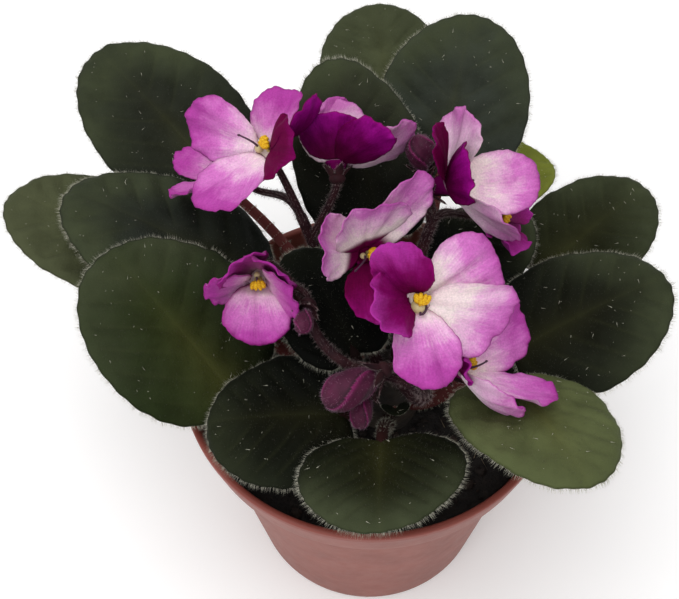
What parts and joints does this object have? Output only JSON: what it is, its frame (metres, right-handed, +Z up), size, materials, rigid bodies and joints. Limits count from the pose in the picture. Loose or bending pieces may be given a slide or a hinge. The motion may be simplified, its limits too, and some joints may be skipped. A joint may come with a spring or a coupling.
{
  "type": "potted african violet",
  "caption": "Potted african violet: a rosette of broad hairy leaves with clusters of pink and white blooms, growing from soil in a small round terracotta-coloured plastic pot.",
  "frame": {"origin": "centre of the pot's flat underside, where it stands", "axes": "+Z up along the pot's axis, -Y the front of the plant, +X to the right seen from the front"},
  "size_m": [0.1909, 0.1899, 0.1625],
  "materials": {
    "pot_plastic": "satin",
    "potting_mix": "rough, crumbly",
    "crown_stem": "matte",
    "leaf_green": "matte, softly hairy",
    "old_leaf": "matte, softly hairy",
    "petals": "soft sheen",
    "anthers": "matte",
    "pistil": "matte",
    "flower_stalk": "matte, softly hairy",
    "bud_petals": "matte, softly hairy"
  },
  "bodies": {
    "root": {"pot": "pot_plastic", "soil": "potting_mix", "crown": "crown_stem", "leaf_rear_left": "leaf_green", "leaf_far_left": "leaf_green", "leaf_left": "leaf_green", "leaf_front_left": "leaf_green", "leaf_front_low": "leaf_green", "leaf_front": "leaf_green", "leaf_front_right": "leaf_green", "leaf_right": "leaf_green", "leaf_right_rear": "leaf_green", "leaf_rear_right": "leaf_green", "leaf_rear": "leaf_green", "leaf_rear_upper": "leaf_green", "leaf_inner_left": "leaf_green", "leaf_inner_right": "leaf_green", "leaf_old": "old_leaf", "leaf_young": "leaf_green", "bloom_front_corolla": "petals", "bloom_front_anthers": "anthers", "bloom_front_pistil": "pistil", "bloom_rear_left_corolla": "petals", "bloom_rear_left_anthers": "anthers", "bloom_rear_left_pistil": "pistil", "bloom_rear_middle_corolla": "petals", "bloom_rear_middle_anthers": "anthers", "bloom_rear_middle_pistil": "pistil", "bloom_rear_right_corolla": "petals", "bloom_rear_right_anthers": "anthers", "bloom_rear_right_pistil": "pistil", "bloom_middle_corolla": "petals", "bloom_middle_anthers": "anthers", "bloom_middle_pistil": "pistil", "bloom_front_right_corolla": "petals", "bloom_front_right_anthers": "anthers", "bloom_front_right_pistil": "pistil", "bloom_left_corolla": "petals", "bloom_left_anthers": "anthers", "bloom_left_pistil": "pistil", "bloom_far_left_corolla": "petals", "bloom_far_left_anthers": "anthers", "bloom_far_left_pistil": "pistil", "bloom_far_right_corolla": "petals", "bloom_far_right_anthers": "anthers", "bloom_far_right_pistil": "pistil", "stalk_rear_left": "flower_stalk", "stalk_rear_right": "flower_stalk", "stalk_front": "flower_stalk", "stalk_left": "flower_stalk", "stalk_middle": "flower_stalk", "bud_front": "bud_petals", "bud_front_low": "bud_petals", "bud_rear": "bud_petals", "bud_left": "bud_petals"}
  },
  "joints": []
}
